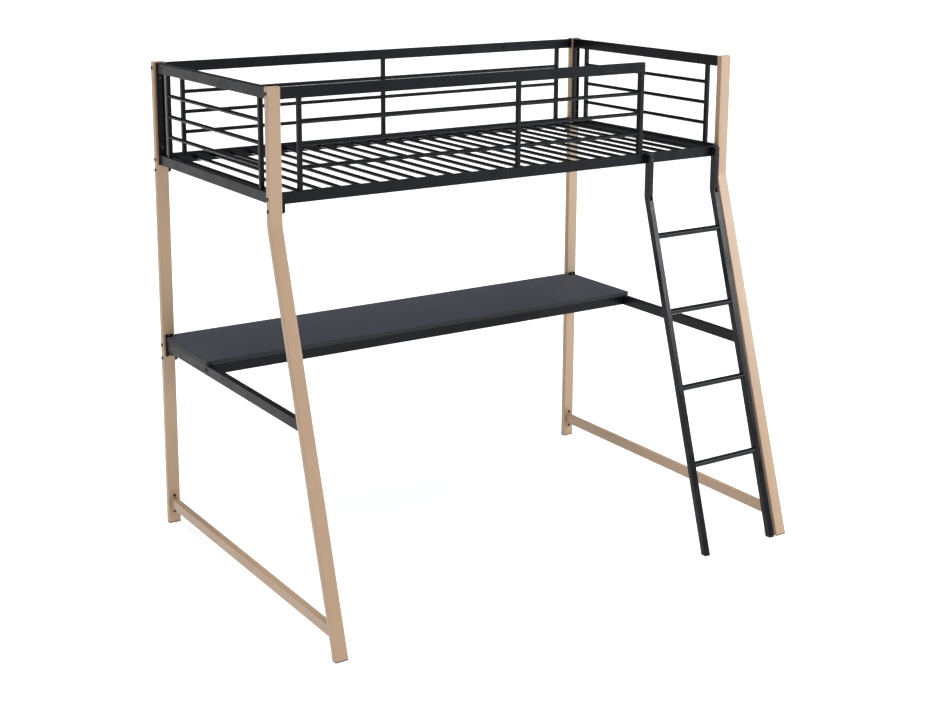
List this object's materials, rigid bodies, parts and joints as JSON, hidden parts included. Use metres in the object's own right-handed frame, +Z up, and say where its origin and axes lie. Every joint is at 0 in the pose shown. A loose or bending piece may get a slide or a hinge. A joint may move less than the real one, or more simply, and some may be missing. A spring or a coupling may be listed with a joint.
{
  "type": "loft bed with desk",
  "caption": "Steel tube loft bed with guard rails, a sloping ladder, legs that lean forward at the front and a full-length desk board underneath.",
  "frame": {"origin": "on the floor, under the middle of the bed's overall size", "axes": "+X along the bed towards the ladder end, +Y to the back, +Z up"},
  "size_m": [2.0788, 1.444, 1.894],
  "materials": {
    "leg_paint": "satin rose-beige paint",
    "black_frame": "fine satin black powder coat",
    "black_fastener": "black oxide",
    "desk_laminate": "matte charcoal laminate on fibreboard",
    "cap_plastic": "dark brown moulded plastic",
    "leg_cap_plastic": "beige moulded plastic",
    "black_plastic": "black moulded plastic"
  },
  "bodies": {
    "root": {"front_left_leg": "leg_paint", "front_right_leg": "leg_paint", "rear_left_leg": "leg_paint", "rear_right_leg": "leg_paint", "front_foot_caps": "cap_plastic", "rear_foot_caps": "cap_plastic", "leg_top_caps": "leg_cap_plastic", "front_side_rail": "black_frame", "back_side_rail": "black_frame", "front_guard": "black_frame", "back_guard": "black_frame", "left_end_frame": "black_frame", "right_end_frame": "black_frame", "desk_front_beam": "black_frame", "desk_back_beam": "black_frame", "desk_left_rail": "black_frame", "desk_right_rail": "black_frame", "front_guard_end_cap": "black_plastic", "slat_tube_01": "black_frame", "slat_tube_02": "black_frame", "slat_tube_03": "black_frame", "slat_tube_04": "black_frame", "slat_tube_05": "black_frame", "slat_tube_06": "black_frame", "slat_tube_07": "black_frame", "slat_tube_08": "black_frame", "slat_tube_09": "black_frame", "slat_tube_10": "black_frame", "slat_tube_11": "black_frame", "slat_tube_12": "black_frame", "slat_tube_13": "black_frame", "slat_tube_14": "black_frame", "slat_tube_15": "black_frame", "slat_tube_16": "black_frame", "slat_tube_17": "black_frame", "slat_tube_18": "black_frame", "slat_tube_19": "black_frame", "slat_tube_20": "black_frame", "slat_tube_21": "black_frame", "slat_tube_22": "black_frame", "slat_tube_23": "black_frame", "slat_tube_24": "black_frame", "slat_tube_25": "black_frame", "left_floor_bar": "leg_paint", "right_floor_bar": "leg_paint", "desk_board": "desk_laminate", "ladder_left_stringer": "black_frame", "ladder_right_stringer": "black_frame", "ladder_foot_caps": "black_plastic", "ladder_top_caps": "black_plastic", "ladder_rung_1": "black_frame", "ladder_rung_2": "black_frame", "ladder_rung_3": "black_frame", "ladder_rung_4": "black_frame", "bed_rail_bolts": "black_fastener", "end_frame_bolts": "black_fastener", "desk_frame_bolts": "black_fastener", "floor_bar_bolts": "black_fastener", "ladder_bolts": "black_fastener", "desk_board_screws": "black_fastener"}
  },
  "joints": []
}
